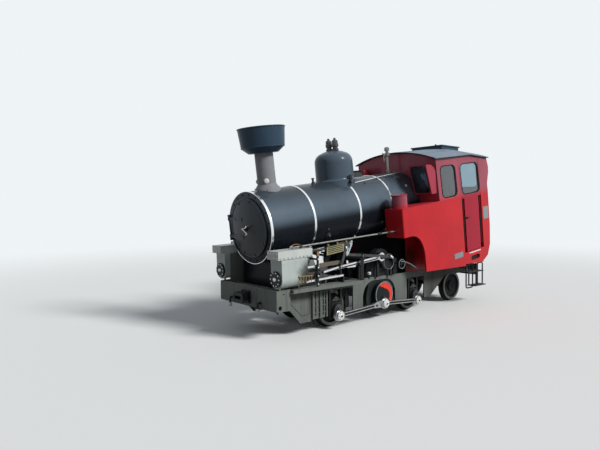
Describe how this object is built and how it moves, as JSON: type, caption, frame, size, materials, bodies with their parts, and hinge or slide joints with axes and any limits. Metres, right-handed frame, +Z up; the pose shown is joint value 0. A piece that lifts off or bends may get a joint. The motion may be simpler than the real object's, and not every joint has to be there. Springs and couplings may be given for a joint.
{
  "type": "steam rack locomotive",
  "caption": "Small rack railway steam locomotive with a downhill tilted boiler, red cab and side tanks, a wide chimney cap, jackshaft drive and coupling rods.",
  "frame": {"origin": "on the floor under the middle of the length over couplers, at the level of the lowest point of the wheel flanges", "axes": "+X forward to the chimney end, +Y to the left side, +Z up"},
  "size_m": [6.26, 2.2194, 3.6173],
  "materials": {
    "frame_grey": "satin",
    "running_gear_black": "satin",
    "wheel_steel": "satin",
    "bright_steel": "satin",
    "polished_band": "polished",
    "boiler_blue_grey": "gloss",
    "chimney_grey": "satin",
    "fitting_brass": "tarnished",
    "body_red": "gloss",
    "roof_grey": "satin",
    "handrail_black": "satin",
    "floor_boards": "matt",
    "fittings_black": "satin",
    "casing_grey": "satin",
    "window_glass": "clear"
  },
  "bodies": {
    "chassis": {"axle_boxes": "running_gear_black", "boiler_bands": "polished_band", "boiler_barrel": "boiler_blue_grey", "brake_gear": "running_gear_black", "brake_wheel": "running_gear_black", "cab_end_walls": "body_red", "cab_fittings": "fittings_black", "cab_floor": "floor_boards", "cab_glass": "window_glass", "cab_roof": "roof_grey", "cab_sides": "body_red", "chimney_cap": "boiler_blue_grey", "chimney_pipe": "chimney_grey", "control_rods": "bright_steel", "couplers": "handrail_black", "crankshaft": "bright_steel", "crossheads": "bright_steel", "cylinder_covers": "bright_steel", "cylinders": "casing_grey", "end_beams": "frame_grey", "entrance_steps": "frame_grey", "firebox": "boiler_blue_grey", "firebox_sides": "running_gear_black", "frame_plates": "frame_grey", "frame_ribs": "frame_grey", "frame_stretchers": "frame_grey", "gear_case": "running_gear_black", "handrails": "handrail_black", "hood_glass": "window_glass", "horn_guides": "running_gear_black", "main_rods": "bright_steel", "motion_brackets": "running_gear_black", "roof_hatch": "roof_grey", "running_boards": "frame_grey", "safety_valves": "fitting_brass", "side_tanks": "body_red", "slide_bars": "bright_steel", "smokebox": "boiler_blue_grey", "smokebox_saddle": "boiler_blue_grey", "steam_dome": "boiler_blue_grey", "trailing_frame": "frame_grey", "valve_gear": "bright_steel", "whistle": "fitting_brass", "window_hoods": "body_red"},
    "jackshaft": {"jackshaft": "wheel_steel"},
    "front_axle": {"front_axle": "wheel_steel", "front_wheels": "wheel_steel"},
    "rear_axle": {"rear_axle": "wheel_steel", "rear_wheels": "wheel_steel"},
    "trailing_axle": {"trailing_axle": "wheel_steel"},
    "rods_left": {"coupling_rods_left": "bright_steel"},
    "rods_right": {"coupling_rods_right": "bright_steel"},
    "smokebox_door": {"smokebox_door": "boiler_blue_grey"},
    "cab_door_left": {"cab_door_left": "body_red", "door_glass_left": "window_glass"},
    "cab_door_right": {"cab_door_right": "body_red", "door_glass_right": "window_glass"},
    "filler_lid_left": {"filler_lid_left": "body_red"},
    "filler_lid_right": {"filler_lid_right": "body_red"}
  },
  "joints": [
    {"name": "jackshaft_turn", "type": "hinge", "parent": "chassis", "child": "jackshaft", "pos_m": [0.28, 0, 0.418], "axis": [0, 1, 0], "continuous": true},
    {"name": "front_axle_turn", "type": "hinge", "parent": "chassis", "child": "front_axle", "pos_m": [1.5, 0, 0.3545], "axis": [0, 1, 0], "continuous": true},
    {"name": "rear_axle_turn", "type": "hinge", "parent": "chassis", "child": "rear_axle", "pos_m": [-0.73, 0, 0.3545], "axis": [0, 1, 0], "continuous": true},
    {"name": "rods_left_turn", "type": "hinge", "parent": "jackshaft", "child": "rods_left", "pos_m": [0.318, 0.815, 0.31477], "axis": [0, 1, 0], "continuous": true},
    {"name": "rods_right_turn", "type": "hinge", "parent": "jackshaft", "child": "rods_right", "pos_m": [0.38323, -0.815, 0.456], "axis": [0, 1, 0], "continuous": true},
    {"name": "trailing_axle_turn", "type": "hinge", "parent": "chassis", "child": "trailing_axle", "pos_m": [-2.307, 0, 0.3545], "axis": [0, 1, 0], "continuous": true},
    {"name": "smokebox_door_swing", "type": "hinge", "parent": "chassis", "child": "smokebox_door", "pos_m": [2.9032, -0.56, 1.82723], "axis": [-0.1219, 0, -0.9925], "range_deg": [0, 110]},
    {"name": "cab_door_left_swing", "type": "hinge", "parent": "chassis", "child": "cab_door_left", "pos_m": [-2.75038, 0.99, 1.85645], "axis": [-0.1219, 0, -0.9925], "range_deg": [0, 80]},
    {"name": "cab_door_right_swing", "type": "hinge", "parent": "chassis", "child": "cab_door_right", "pos_m": [-2.75038, -0.99, 1.85645], "axis": [0.1219, 0, 0.9925], "range_deg": [0, 80]},
    {"name": "filler_lid_left_lift", "type": "hinge", "parent": "chassis", "child": "filler_lid_left", "pos_m": [-0.03457, 0.732, 2.39448], "axis": [0.9925, 0, -0.1219], "range_deg": [0, 100]},
    {"name": "filler_lid_right_lift", "type": "hinge", "parent": "chassis", "child": "filler_lid_right", "pos_m": [-0.03457, -0.732, 2.39448], "axis": [-0.9925, 0, 0.1219], "range_deg": [0, 100]}
  ],
  "couplings": [
    {"joint": "front_axle_turn", "follows": "jackshaft_turn", "ratio": 1},
    {"joint": "rear_axle_turn", "follows": "jackshaft_turn", "ratio": 1},
    {"joint": "rods_left_turn", "follows": "jackshaft_turn", "ratio": -1},
    {"joint": "rods_right_turn", "follows": "jackshaft_turn", "ratio": -1}
  ]
}
